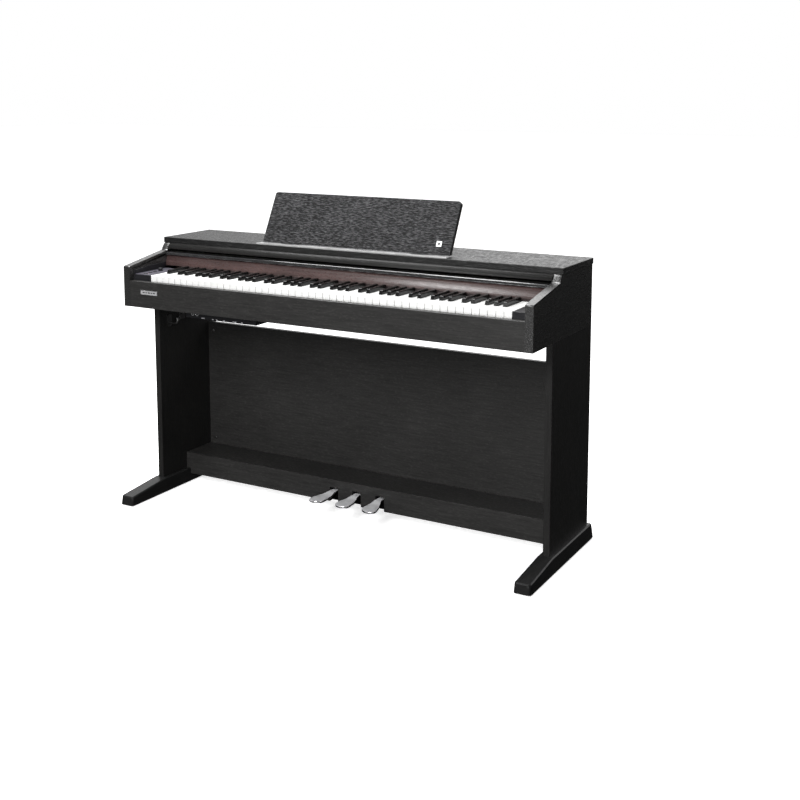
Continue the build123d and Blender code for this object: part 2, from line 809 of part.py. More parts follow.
def speaker(x):
    """Round driver facing down: flange, basket and magnet."""
    basket_z = keybed_top + 4.0
    basket_height = 34.0
    dish_height = 28.0
    flange = rod((x, speaker_y, keybed_top), (0, 0, 1), speaker_opening + speaker_flange, 4.0)
    basket_place = Pos(x, speaker_y, basket_z + basket_height / 2)
    basket = basket_place * Cone(speaker_opening, magnet_radius, basket_height)
    magnet = rod((x, speaker_y, basket_z + basket_height), (0, 0, 1), magnet_radius, 16.0)
    dish = Pos(x, speaker_y, keybed_top + dish_height / 2) * Cone(speaker_opening - 6.0, 14.0, dish_height)
    return flange + basket + magnet - dish


def speakers():
    return group([speaker(-speaker_x), speaker(speaker_x)])


def main_circuit_board():
    """Printed board on four posts, with its larger parts."""
    board_z = keybed_top + post_height
    top = board_z + circuit_thickness
    middle_y = (board_front + board_back) / 2
    board = block(-board_half_width, board_half_width, board_front, board_back, board_z, top)
    for x in (10.0 - board_half_width, board_half_width - 10.0):
        for y in (board_front + 8.0, board_back - 8.0):
            board = board + rod((x, y, keybed_top), (0, 0, 1), 4.0, post_height)
    chips = ((-60.0, 28.0, 3.0), (20.0, 20.0, 3.0), (95.0, 34.0, 22.0))
    for x, size, height in chips:
        half = size / 2
        board = board + block(x - half, x + half, middle_y - half, middle_y + half, top, top + height)
    return board


# --- music rest ------------------------------------------------------------------------
def music_rest():
    """Leaning board, cut level along its bottom, with rounded top corners."""
    top_front = (rest_front + rest_length * lean_y, rest_bottom + rest_length * lean_z)
    top_back = (top_front[0] + rest_thickness * lean_z, top_front[1] - rest_thickness * lean_y)
    outline = [
        (rest_front, rest_bottom),
        top_front,
        top_back,
        (rest_front + rest_level, rest_bottom),
    ]
    board = prism_x(outline, rest_shift - rest_width / 2, rest_shift + rest_width / 2)
    short = [edge for edge in board.edges() if edge.center().Z > rest_bottom + 100.0
             and 0.9 * rest_thickness < edge.length < 1.2 * rest_thickness]
    return fillet(short, rest_corner)


def hinge_places():
    return (rest_shift - hinge_spacing / 2, rest_shift + hinge_spacing / 2)


def music_rest_hinges():
    """Two hinge bases on the lid, each a plate with two ears and a pin."""
    bases = []
    half = hinge_block_width / 2
    plate_top = lid_top + hinge_plate_thickness
    radius = hinge_barrel_radius
    for x in hinge_places():
        base = block(x - half, x + half, hinge_plate_front, hinge_pin_y - 7.0, lid_top, plate_top)
        for x0 in (x - half, x + half - hinge_ear_width):
            x1 = x0 + hinge_ear_width
            base = base + block(x0, x1, hinge_pin_y - radius, hinge_pin_y + radius, lid_top, hinge_pin_z)
            base = base + rod((x0, hinge_pin_y, hinge_pin_z), (1, 0, 0), radius, hinge_ear_width)
            base = base + block(x0, x1, hinge_pin_y - 10.0, hinge_pin_y + 16.0, lid_top, plate_top)
        pin = rod((x - half, hinge_pin_y, hinge_pin_z), (1, 0, 0), hinge_pin_radius, hinge_block_width)
        bases.append(base + pin)
    return group(bases)


def rest_hinge_leaves():
    """Leaves on the back of the board, with barrels that turn on the pins."""
    half = hinge_block_width / 2 - hinge_ear_width - 0.5
    foot_y = rest_front + rest_level + 6.0 * lean_y / lean_z
    foot_z = rest_bottom + 6.0
    end_y = foot_y + hinge_leaf_length * lean_y
    end_z = foot_z + hinge_leaf_length * lean_z
    outline = [
        (foot_y, foot_z),
        (end_y, end_z),
        (end_y + 2.0 * lean_z, end_z - 2.0 * lean_y),
        (hinge_pin_y + 3.4, hinge_pin_z),
        (hinge_pin_y, hinge_pin_z),
    ]
    leaves = []
    for x in hinge_places():
        start = (x - half, hinge_pin_y, hinge_pin_z)
        leaf = prism_x(outline, x - half, x + half)
        leaf = leaf + rod(start, (1, 0, 0), hinge_barrel_radius, 2 * half)
        leaves.append(leaf - rod(start, (1, 0, 0), hinge_pin_radius + running_clearance, 2 * half))
    return group(leaves)


def music_ledge():
    """Low tray in front of the music rest, notched for the hinges, with a lip that holds pages."""
    x0 = rest_shift - rest_width / 2
    x1 = x0 + ledge_width
    tray = block(x0, x1, ledge_front, ledge_back, lid_top, lid_top + ledge_thickness)
    notch_half = hinge_block_width / 2 + 0.5
    for x in hinge_places():
        tray = tray - block(x - notch_half, x + notch_half, hinge_plate_front - 0.5, ledge_back + 1.0,
                            lid_top - 1.0, lid_top + 2 * ledge_thickness)
    lip = block(x0, x1, ledge_front, ledge_front + 4.0, lid_top, lid_top + ledge_lip_height)
    lip = fillet(edges_along(lip, Axis.X, lambda c: c.Z > lid_top + 1.0), 1.2)
    return tray + lip


# --- the whole model -------------------------------------------------------------------
def model():
    """Every piece by its name."""
    pieces = {
        "left_leg_panel": left_leg_panel(),
        "left_foot": left_foot(),
        "foot_glides": foot_glides(),
        "rear_panel": rear_panel(),
        "kick_panel": kick_panel(),
        "pedal_shelf": pedal_shelf(),
        "stand_brackets": stand_brackets(),
        "stand_screws": stand_screws(),
        "headphone_hook": headphone_hook(),
        "pedal_pivot_shaft": pedal_pivot_shaft(),
        "pedal_frame": pedal_frame(),
        "left_cheek": left_cheek(),
        "top_lid": top_lid(),
        "lid_header": lid_header(),
        "key_slip": key_slip(),
        "bottom_board": bottom_board(),
        "back_board": back_board(),
        "key_cover": key_cover(),
        "key_cover_grip": key_cover_grip(),
        "nameboard": nameboard(),
        "key_felt": key_felt(),
        "side_trims": side_trims(),
        "key_pivot_rod": key_pivot_rod(),
        "key_chassis": key_chassis(),
        "key_contact_board": key_contact_board(),
        "left_end_block": control_wells(left_end_block()),
        "right_end_block": right_end_block(),
        "control_panel": control_wells(control_panel()),
        "volume_knob": volume_knob(),
        "power_button": push_button(button_rows[0]),
        "function_button_1": push_button(button_rows[1]),
        "function_button_2": push_button(button_rows[2]),
        "jack_box": jack_box(),
        "speakers": speakers(),
        "main_circuit_board": main_circuit_board(),
        "music_rest": music_rest(),
        "music_rest_hinges": music_rest_hinges(),
        "rest_hinge_leaves": rest_hinge_leaves(),
        "music_ledge": music_ledge(),
    }
    for side in ("leg_panel", "foot", "cheek"):
        pieces["right_" + side] = mirror_x(pieces["left_" + side])
    for step, name in zip((-1, 0, 1), pedal_names):
        pieces[name + "_pedal"] = pedal(step * pedal_pitch, step * pedal_splay)
        pieces[name + "_pedal_spring"] = pedal_spring(step * pedal_pitch)
    for name in white_names + black_names:
        pieces["keys_" + name] = key_group(name)
    return pieces


os.makedirs("parts", exist_ok=True)
for node, shape in model().items():
    shape.label = node
    export_step(shape, f"parts/{node}.step")
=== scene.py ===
import math

import bmesh
import bpy
from mathutils import Euler, Matrix, Vector


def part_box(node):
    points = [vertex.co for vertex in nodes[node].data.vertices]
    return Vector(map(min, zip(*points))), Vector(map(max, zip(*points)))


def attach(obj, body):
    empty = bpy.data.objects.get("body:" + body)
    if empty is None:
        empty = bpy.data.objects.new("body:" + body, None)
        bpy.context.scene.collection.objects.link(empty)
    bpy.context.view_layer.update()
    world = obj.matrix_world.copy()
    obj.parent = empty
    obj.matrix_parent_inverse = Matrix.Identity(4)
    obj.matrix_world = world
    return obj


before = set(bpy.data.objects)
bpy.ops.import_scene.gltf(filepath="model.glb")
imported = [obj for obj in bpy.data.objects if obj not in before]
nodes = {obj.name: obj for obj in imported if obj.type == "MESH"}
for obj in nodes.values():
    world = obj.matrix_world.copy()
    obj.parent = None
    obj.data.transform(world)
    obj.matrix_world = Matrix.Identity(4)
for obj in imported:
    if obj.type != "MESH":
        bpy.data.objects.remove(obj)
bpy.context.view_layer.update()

ROOT = "cabinet_and_stand"
REST_BODY = "music_rest_body"
MM = 0.001
REST_LEAN = 27.0  # degrees that the music rest leans back
JACK_AXIS_Z = 627.0 * MM
KNOB_SWEEP = 140.0  # degrees that the volume knob turns each way
WELD_DISTANCE = 0.02 * MM
PRINT_BEVEL = 0.03 * MM


# --- camera ----------------------------------------------------------------------------
def make_camera():
    """Camera in front and to the right of the piano, a little above its lid."""
    looks_down = 7.31
    looks_left = 29.29
    data = bpy.data.cameras.new("camera")
    data.sensor_width = 36.0
    data.lens = 52.77
    data.shift_y = -0.2
    data.clip_end = 100.0
    camera = bpy.data.objects.new("camera", data)
    camera.location = (1.8359, -2.9436, 1.3149)
    pitch = math.radians(90.0 - looks_down)
    camera.rotation_euler = Euler((pitch, 0.0, math.radians(looks_left)))
    bpy.context.scene.collection.objects.link(camera)
    bpy.context.scene.camera = camera


# --- shader helpers --------------------------------------------------------------------
class NodeTree:
    """Short calls for the nodes that materials and the world share."""

    def __init__(self, owner):
        owner.use_nodes = True
        self.tree = owner.node_tree
        self.tree.nodes.clear()

    def add(self, kind, **settings):
        node = self.tree.nodes.new(kind)
        for key, value in settings.items():
            setattr(node, key, value)
        return node

    def link(self, source, target):
        self.tree.links.new(source, target)

    def spread(self, factor, low, high, new_low, new_high, kind="LINEAR"):
        """Moves a factor from one range to another."""
        node = self.add("ShaderNodeMapRange", interpolation_type=kind)
        node.inputs["From Min"].default_value = low
        node.inputs["From Max"].default_value = high
        node.inputs["To Min"].default_value = new_low
        node.inputs["To Max"].default_value = new_high
        self.link(factor, node.inputs["Value"])
        return node.outputs["Result"]

    def combine(self, operation, first, second):
        node = self.add("ShaderNodeMath", operation=operation)
        for index, value in enumerate((first, second)):
            if isinstance(value, float):
                node.inputs[index].default_value = value
            else:
                self.link(value, node.inputs[index])
        return node.outputs[0]


class Shader(NodeTree):
    """A material with one principled surface."""

    def __init__(self, name):
        self.material = bpy.data.materials.new(name)
        super().__init__(self.material)
        output = self.add("ShaderNodeOutputMaterial")
        self.surface = self.add("ShaderNodeBsdfPrincipled")
        self.link(self.surface.outputs[0], output.inputs["Surface"])

    def fixed(self, name, value):
        self.surface.inputs[name].default_value = value

    def drive(self, name, source):
        self.link(source, self.surface.inputs[name])

    def coordinates(self, scale=(1.0, 1.0, 1.0)):
        """Object coordinates, squeezed to stretch a pattern along an axis."""
        texture = self.add("ShaderNodeTexCoord")
        mapping = self.add("ShaderNodeMapping")
        mapping.inputs["Scale"].default_value = scale
        self.link(texture.outputs["Object"], mapping.inputs["Vector"])
        return mapping.outputs["Vector"]

    def noise(self, vector, scale, detail=4.0, roughness=0.6, distortion=0.0):
        node = self.add("ShaderNodeTexNoise")
        node.inputs["Scale"].default_value = scale
        node.inputs["Detail"].default_value = detail
        node.inputs["Roughness"].default_value = roughness
        node.inputs["Distortion"].default_value = distortion
        self.link(vector, node.inputs["Vector"])
        return node.outputs["Fac"]

    def ramp(self, factor, stops):
        """Colour ramp with (position, colour) stops."""
        node = self.add("ShaderNodeValToRGB")
        elements = node.color_ramp.elements
        while len(elements) < len(stops):
            elements.new(0.5)
        for element, (position, colour) in zip(elements, stops):
            element.position = position
            element.color = (*colour, 1.0)
        self.link(factor, node.inputs["Fac"])
        return node.outputs["Color"]

    def mix(self, factor, first, second):
        node = self.add("ShaderNodeMix", data_type="RGBA")
        sockets = {item.identifier: item for item in node.inputs}
        self.link(factor, sockets["Factor_Float"])
        for value, target in ((first, sockets["A_Color"]), (second, sockets["B_Color"])):
            if isinstance(value, tuple):
                target.default_value = (*value, 1.0)
            else:
                self.link(value, target)
        return next(item for item in node.outputs if item.identifier == "Result_Color")

    def bump(self, height, strength, distance):
        node = self.add("ShaderNodeBump")
        node.inputs["Strength"].default_value = strength
        node.inputs["Distance"].default_value = distance
        self.link(height, node.inputs["Height"])
        self.link(node.outputs["Normal"], self.surface.inputs["Normal"])


def scaled(colour, factor):
    return tuple(min(1.0, channel * factor) for channel in colour)


# --- materials -------------------------------------------------------------------------
GRAIN_SQUEEZE = 0.05  # scale along the grain, which makes its streaks 20 times longer than wide


def wood_foil(name, tone, grain_axis, roughness, specular, fleck=0.5, bump=0.35, painted_glint=2.6,
              pore_stretch=None, swing=0.08):
    """Printed and embossed wood foil: fine pores, faint long streaks and a soft cloudiness.

    The tone is the colour between pores, the glint factor is how much lighter a pore is painted,
    and fleck is how
    much of that shows: partly the foil's own pale pores and partly a painted glint, light caught by
    the embossed grain. Swing is how far the roughness moves either way.
    """
    shader = Shader(name)
    long_grain = tuple(GRAIN_SQUEEZE if axis == grain_axis else 1.0 for axis in "xyz")
    short_grain = pore_stretch or tuple(min(1.0, step * 6.0) for step in long_grain)
    streaks = shader.noise(shader.coordinates(long_grain), 240.0, 6.0, 0.62, 0.3)
    pores = shader.noise(shader.coordinates(short_grain), 280.0, 3.0, 0.6)
    clouds = shader.noise(shader.coordinates(), 5.0, 3.0, 0.5)
    base = shader.ramp(streaks, [(0.34, scaled(tone, 0.72)), (0.66, scaled(tone, 1.28))])
    # Lighter pores: partly real pore colour, partly a painted glint of light on the embossed grain.
    pores_with_painted_glints = shader.mix(shader.spread(pores, 0.53, 0.66, 0.0, fleck), base, scaled(tone, painted_glint))
    shade = shader.add("ShaderNodeHueSaturation")
    shader.link(shader.spread(clouds, 0.35, 0.65, 0.9, 1.1), shade.inputs["Value"])
    shader.link(pores_with_painted_glints, shade.inputs["Color"])
    shader.drive("Base Color", shade.outputs["Color"])
    shader.drive("Roughness", shader.spread(pores, 0.35, 0.7, roughness + swing, roughness - swing))
    shader.fixed("Specular IOR Level", specular)
    shader.bump(shader.combine("ADD", streaks, pores), bump, 0.0005)
    return shader.material


def rest_board_foil(name):
    """Charcoal board with short horizontal flecks, lighter than the cabinet."""
    shader = Shader(name)
    flecks = shader.noise(shader.coordinates((0.16, 1.0, 1.0)), 460.0, 3.0, 0.6)
    fine = shader.noise(shader.coordinates((0.4, 1.0, 1.0)), 1300.0, 2.0, 0.6)
    clouds = shader.noise(shader.coordinates(), 6.0, 3.0, 0.5)
    grain = shader.combine("ADD", shader.combine("MULTIPLY", flecks, 0.75),
                           shader.combine("MULTIPLY", fine, 0.25))
    base = shader.ramp(grain, [(0.42, (0.003, 0.003, 0.003)), (0.50, (0.010, 0.010, 0.011)),
                               (0.61, (0.070, 0.070, 0.072))])
    shade = shader.add("ShaderNodeHueSaturation")
    shader.link(shader.spread(clouds, 0.35, 0.65, 0.88, 1.12), shade.inputs["Value"])
    shader.link(base, shade.inputs["Color"])
    shader.drive("Base Color", shade.outputs["Color"])
    shader.drive("Roughness", shader.spread(grain, 0.4, 0.6, 0.7, 0.5))
    shader.fixed("Specular IOR Level", 0.12)
    shader.bump(grain, 0.5, 0.0006)
    return shader.material


def moulded_plastic(name, colour, roughness, bump=0.12, coat=0.0, specular=0.5, cloud=0.15):
    """Moulded plastic with a fine spark-eroded grain and slight unevenness of tone."""
    shader = Shader(name)
    vector = shader.coordinates()
    grains = shader.noise(vector, 2600.0, 2.0, 0.5)
    clouds = shader.noise(vector, 30.0, 3.0, 0.5)
    shader.drive("Base Color", shader.ramp(clouds, [(0.3, scaled(colour, 1.0 - cloud)),
                                                    (0.7, scaled(colour, 1.0 + cloud))]))
    shader.drive("Roughness", shader.spread(clouds, 0.3, 0.7, roughness - 0.04, roughness + 0.06))
    shader.fixed("Specular IOR Level", specular)
    shader.fixed("Coat Weight", coat)
    shader.fixed("Coat Roughness", 0.06)
    shader.bump(grains, bump, 0.0002)
    return shader.material


def polished_metal(name, colour, roughness, brushed_scale, bump=0.06, metallic=1.0):
    """Metal with fine polishing lines and faint smudges."""
    shader = Shader(name)
    lines = shader.noise(shader.coordinates((1.0, 0.05, 1.0)), brushed_scale, 3.0, 0.6)
    smudges = shader.noise(shader.coordinates(), 40.0, 4.0, 0.6)
    shader.drive("Base Color", shader.ramp(smudges, [(0.35, scaled(colour, 0.9)), (0.65, colour)]))
    shader.drive("Roughness", shader.spread(smudges, 0.3, 0.7, roughness, roughness + 0.09))
    shader.fixed("Metallic", metallic)
    shader.bump(lines, bump, 0.0001)
    return shader.material


def plated_steel(name, colour, roughness):
    """Nickel-plated steel: satin on its flat top, where a pale diffuse share is a painted highlight
    that makes the top read lighter; polished and mirror-like round the sides.
    """
    shader = Shader(name)
    parts = shader.add("ShaderNodeSeparateXYZ")
    shader.link(shader.add("ShaderNodeTexCoord").outputs["Normal"], parts.inputs[0])
    # Mask of upward faces; their paler diffuse share below is painted light on the top.
    top = shader.spread(parts.outputs["Z"], 0.6, 0.97, 0.0, 1.0)
    lines = shader.noise(shader.coordinates((1.0, 0.05, 1.0)), 700.0, 3.0, 0.6)
    smudges = shader.noise(shader.coordinates(), 40.0, 4.0, 0.6)
    shader.drive("Base Color", shader.ramp(smudges, [(0.35, scaled(colour, 0.92)), (0.65, colour)]))
    shader.drive("Metallic", shader.spread(top, 0.0, 1.0, 1.0, 0.35))
    shader.drive("Roughness", shader.combine("ADD", shader.spread(smudges, 0.3, 0.7, 0.0, 0.06),
                                             shader.spread(top, 0.0, 1.0, roughness, 0.3)))
    shader.bump(lines, 0.04, 0.0001)
    return shader.material


def woven_felt(name, colour):
    """Pressed felt with loose fibres."""
    shader = Shader(name)
    fibres = shader.noise(shader.coordinates(), 1400.0, 6.0, 0.75, 0.6)
    shader.drive("Base Color", shader.ramp(fibres, [(0.35, colour), (0.7, scaled(colour, 1.8))]))
    shader.drive("Roughness", shader.spread(fibres, 0.3, 0.7, 0.9, 1.0))
    shader.fixed("Sheen Weight", 0.3)
    shader.bump(fibres, 0.5, 0.0006)
    return shader.material


# FOIL is the cabinet foil's own tone. The cheeks, leg panels, lid header and lid are the same foil
# in darker copies of this tone: those lower tones are painted shade that makes these parts read
# darker, not a different foil. The lid's strong flecks are painted glints.
FOIL = (0.021, 0.0205, 0.0200)
front_foil = wood_foil("front_foil", FOIL, "x", 0.38, 0.3, 0.35)
cheek_foil_painted_shade = wood_foil("cheek_foil_painted_shade", scaled(FOIL, 0.5), "y", 0.3, 0.8, 0.4, bump=0.8, painted_glint=4.0)
upright_foil_painted_shade = wood_foil("upright_foil_painted_shade", scaled(FOIL, 0.6), "z", 0.42, 0.2, 0.3)
header_foil_painted_shade = wood_foil("header_foil_painted_shade", scaled(FOIL, 0.45), "x", 0.36, 0.1, 0.3)
lid_foil_painted_shade = wood_foil("lid_foil_painted_shade", (0.008, 0.008, 0.008), "x", 0.34, 0.2, 0.8, bump=2.6, painted_glint=4.5,
                     pore_stretch=(0.45, 0.16, 0.9), swing=0.2)
foot_foil = wood_foil("foot_foil", (0.012, 0.012, 0.012), "y", 0.35, 0.18, 0.15)
rest_foil = rest_board_foil("rest_foil")
nameboard_foil = wood_foil("nameboard_foil", (0.058, 0.036, 0.034), "x", 0.3, 0.5, 0.2,
                           bump=0.15)
black_satin = moulded_plastic("black_satin", (0.012, 0.012, 0.014), 0.38, specular=0.3)
grip_gloss = moulded_plastic("grip_gloss", (0.010, 0.010, 0.011), 0.16, bump=0.02, coat=1.0,
                             specular=1.0)
trim_black = moulded_plastic("trim_black", (0.010, 0.010, 0.012), 0.45, bump=0.3, specular=0.35)
panel_grey = moulded_plastic("panel_grey", (0.070, 0.067, 0.082), 0.32, bump=0.2)
# The music ledge's light grey is a painted reflection: it stands in for the light its top reflects.
ledge_grey_painted_sheen = moulded_plastic("ledge_grey_painted_sheen", (0.27, 0.27, 0.27), 0.2)
button_grey = moulded_plastic("button_grey", (0.03, 0.03, 0.032), 0.45)
frame_grey = moulded_plastic("frame_grey", (0.12, 0.12, 0.12), 0.6)
ivory_white = moulded_plastic("ivory_white", (0.80, 0.80, 0.79), 0.24, bump=0.02, coat=0.3,
                              cloud=0.02)
ebony_black = moulded_plastic("ebony_black", (0.004, 0.004, 0.004), 0.2, bump=0.05,
                              specular=0.22)
rubber = moulded_plastic("rubber", (0.02, 0.02, 0.02), 0.8, bump=0.3)
board_green = moulded_plastic("board_green", (0.01, 0.08, 0.03), 0.4)
cone_black = moulded_plastic("cone_black", (0.015, 0.015, 0.015), 0.7)
print_white = moulded_plastic("print_white", (0.60, 0.60, 0.63), 0.5, bump=0.02)
lamp_red = moulded_plastic("lamp_red", (0.35, 0.01, 0.01), 0.2, bump=0.01, coat=0.6)
plate_silver = polished_metal("plate_silver", (0.50, 0.50, 0.51), 0.34, 1200.0, 0.1, 0.4)
plate_white = moulded_plastic("plate_white", (0.80, 0.80, 0.80), 0.35, bump=0.02, cloud=0.03)
chrome = polished_metal("chrome", (0.80, 0.80, 0.82), 0.13, 700.0)
pedal_nickel_painted_top_light = plated_steel("pedal_nickel_painted_top_light", (0.90, 0.90, 0.92), 0.12)
zinc = polished_metal("zinc", (0.42, 0.42, 0.42), 0.3, 900.0)
dark_zinc = polished_metal("dark_zinc", (0.16, 0.16, 0.16), 0.32, 900.0)
black_steel = moulded_plastic("black_steel", (0.010, 0.010, 0.010), 0.4, specular=0.35)
felt = woven_felt("felt", (0.012, 0.006, 0.006))


# --- CAD pieces ------------------------------------------------------------------------
def soften(piece, width):
    """Joins the split corners of a CAD mesh and rounds its sharp edges."""
    weld = piece.modifiers.new("weld", "WELD")
    weld.merge_threshold = WELD_DISTANCE
    bevel = piece.modifiers.new("bevel", "BEVEL")
    bevel.width = width
    bevel.segments = 2
    bevel.limit_method = "ANGLE"
    bevel.angle_limit = math.radians(30.0)
    bevel.harden_normals = True


def paint(names, material, width=0.6):
    """Gives CAD nodes their material and rounded edges of a width in millimetres."""
    for name in names:
        piece = nodes[name]
        piece.data.materials.clear()
        piece.data.materials.append(material)
        soften(piece, width * MM)


def paint_cad():
    """Every CAD node: (nodes, material) and the edge width where it isn't the usual one."""
    naturals = ["keys_" + letter for letter in "cdefgab"]
    sharps = ["keys_" + letter + "_sharp" for letter in "cdfga"]
    pedals = ["left_pedal", "centre_pedal", "right_pedal"]
    springs = [pedal + "_spring" for pedal in pedals]
    buttons = ["power_button", "function_button_1", "function_button_2"]
    plastics = ["left_end_block", "right_end_block", "jack_box", "volume_knob"]

    paint(["left_cheek", "right_cheek"], cheek_foil_painted_shade, 1.0)
    paint(["key_slip", "back_board", "bottom_board"], front_foil)
    paint(["lid_header"], header_foil_painted_shade)
    paint(["top_lid"], lid_foil_painted_shade)
    paint(["rear_panel", "kick_panel", "pedal_shelf"], front_foil)
    paint(["left_leg_panel", "right_leg_panel"], upright_foil_painted_shade)
    paint(["left_foot", "right_foot"], foot_foil, 1.2)
    paint(["music_rest"], rest_foil, 1.2)
    paint(["nameboard"], nameboard_foil, 0.8)
    paint(["key_cover"], front_foil, 0.5)
    paint(["key_cover_grip"], grip_gloss, 0.5)
    paint(naturals, ivory_white)
    paint(sharps, ebony_black, 1.0)
    paint(plastics, black_satin)
    paint(["side_trims"], trim_black, 0.8)
    paint(["music_ledge"], ledge_grey_painted_sheen, 0.5)
    paint(["key_chassis"], frame_grey)
    paint(["control_panel"], panel_grey, 0.4)
    paint(buttons, button_grey, 0.4)
    paint(["key_felt"], felt, 0.4)
    paint(pedals, pedal_nickel_painted_top_light, 1.4)
    paint(["pedal_pivot_shaft", "key_pivot_rod", *springs], zinc, 0.3)
    paint(["stand_screws", "stand_brackets", "headphone_hook"], dark_zinc, 0.3)
    paint(["pedal_frame", "music_rest_hinges", "rest_hinge_leaves"], black_steel,
          0.3)
    paint(["foot_glides"], rubber)
    paint(["key_contact_board", "main_circuit_board"], board_green, 0.3)
    paint(["speakers"], cone_black, 0.4)


# --- small pieces ----------------------------------------------------------------------
def mesh_piece(name, mesh_maker, material, body, bevel=0.3 * MM, place=None):
    """A new piece from a bmesh maker, bevelled, painted and riding on a body."""
    work = bmesh.new()
    mesh_maker(work)
    if place is not None:
        work.transform(place)
    bmesh.ops.recalc_face_normals(work, faces=work.faces)
    mesh = bpy.data.meshes.new(name)
    work.to_mesh(mesh)
    work.free()
    mesh.materials.append(material)
    for polygon in mesh.polygons:
        polygon.use_smooth = True
    piece = bpy.data.objects.new(name, mesh)
    bpy.context.scene.collection.objects.link(piece)
    soften(piece, bevel)
    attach(piece, body)


def add_outline(work, points, low, high):
    """A closed prism along z from (x, y) points."""
    bottom = [work.verts.new((x, y, low)) for x, y in points]
    top = [work.verts.new((x, y, high)) for x, y in points]
    work.faces.new(bottom[::-1])
    work.faces.new(top)
    count = len(points)
    for i in range(count):
        j = (i + 1) % count
        work.faces.new((bottom[i], bottom[j], top[j], top[i]))


def rounded_corners(width, depth, radius, steps=6):
    """Outline of a rectangle with round corners, about its middle."""
    points = []
    for quarter in range(4):
        sign_x = 1 if quarter in (0, 3) else -1
        sign_y = 1 if quarter in (0, 1) else -1
        centre_x = sign_x * (width / 2 - radius)
        centre_y = sign_y * (depth / 2 - radius)
        for step in range(steps + 1):
            angle = math.radians(90.0 * (quarter + step / steps))
            x = centre_x + radius * math.cos(angle)
            y = centre_y + radius * math.sin(angle)
            points.append((x, y))
    return points


def circle(radius, steps):
    turn = 2.0 * math.pi / steps
    return [(radius * math.cos(i * turn), radius * math.sin(i * turn)) for i in range(steps)]


def add_frame(work, inner, outer, low, high):
    """A flat frame with a square section, between two outlines with as many points."""
    levels = ((inner, low), (outer, low), (outer, high), (inner, high))
    rings = [[work.verts.new((x, y, z)) for x, y in line] for line, z in levels]
    count = len(inner)
    for k in range(4):
        near = rings[k]
        far = rings[(k + 1) % 4]
        for i in range(count):
            j = (i + 1) % count
            work.faces.new((near[i], near[j], far[j], far[i]))


def shifted(points, x, y):
    return [(px + x, py + y) for px, py in points]


def middle_of(low, high):
    """(x, y) in the middle of a box."""
    return (low.x + high.x) / 2, (low.y + high.y) / 2


def facing_front(x, y, z):
    """Places a flat piece with its face towards the player."""
    return Matrix.Translation((x, y, z)) @ Matrix.Rotation(math.radians(90.0), 4, "X")


def badge_plate():
    """Satin plate with a raised rim and five plain bars, on the left of the key slip."""
    slip_low, slip_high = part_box("key_slip")
    width = 66.0 * MM
    height = 14.0 * MM
    corner = 1.0 * MM
    thickness = 1.2 * MM
    rim_width = 1.2 * MM
    rim_height = 0.5 * MM
    bar_height = 3.6 * MM
    bar_thickness = 0.15 * MM
    place = facing_front(slip_low.x + 77.0 * MM, slip_low.y, slip_high.z - 33.0 * MM)

    def plate(work):
        add_outline(work, rounded_corners(width, height, corner), 0.0, thickness)

    def rim(work):
        outer = rounded_corners(width, height, corner)
        inner = rounded_corners(width - 2 * rim_width, height - 2 * rim_width, 0.6 * MM)
        add_frame(work, inner, outer, thickness, thickness + rim_height)

    def marks(work):
        for start, length in ((-25.0, 9.0), (-13.0, 5.0), (-4.0, 9.0), (8.0, 5.0), (16.0, 9.0)):
            bar = rounded_corners(length * MM, bar_height, 1.7 * MM, 4)
            middle = (start + length / 2) * MM
            add_outline(work, shifted(bar, middle, 0.0), thickness, thickness + bar_thickness)

    mesh_piece("badge_plate_marks", marks, button_grey, ROOT, 0.04 * MM, place)
    mesh_piece("badge_plate", plate, plate_silver, ROOT, 0.2 * MM, place)
    mesh_piece("badge_plate_rim", rim, chrome, ROOT, 0.1 * MM, place)


def rest_emblem():
    """Small square plate with a plain inlay, on the lower right of the music rest."""
    rest_low, rest_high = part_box("music_rest")
    lean = math.radians(REST_LEAN)
    from_right = 41.0 * MM
    up_the_board = 34.0 * MM
    side = 17.0 * MM
    inlay_side = 0.4 * side
    sunk = 0.2 * MM
    thickness = 1.0 * MM
    start = Vector((rest_high.x - from_right, rest_low.y, rest_low.z))
    middle = start + Vector((0.0, math.sin(lean), math.cos(lean))) * up_the_board
    place = Matrix.Translation(middle) @ Matrix.Rotation(math.radians(90.0) - lean, 4, "X")

    def plate(work):
        add_outline(work, rounded_corners(side, side, 1.0 * MM), -sunk, thickness)

    def inlay(work):
        outline = rounded_corners(inlay_side, inlay_side, 0.8 * MM)
        add_outline(work, outline, thickness, thickness + 0.3 * MM)

    mesh_piece("rest_emblem_plate", plate, plate_white, REST_BODY, 0.2 * MM, place)
    mesh_piece("rest_emblem_inlay", inlay, button_grey, REST_BODY, 0.1 * MM, place)


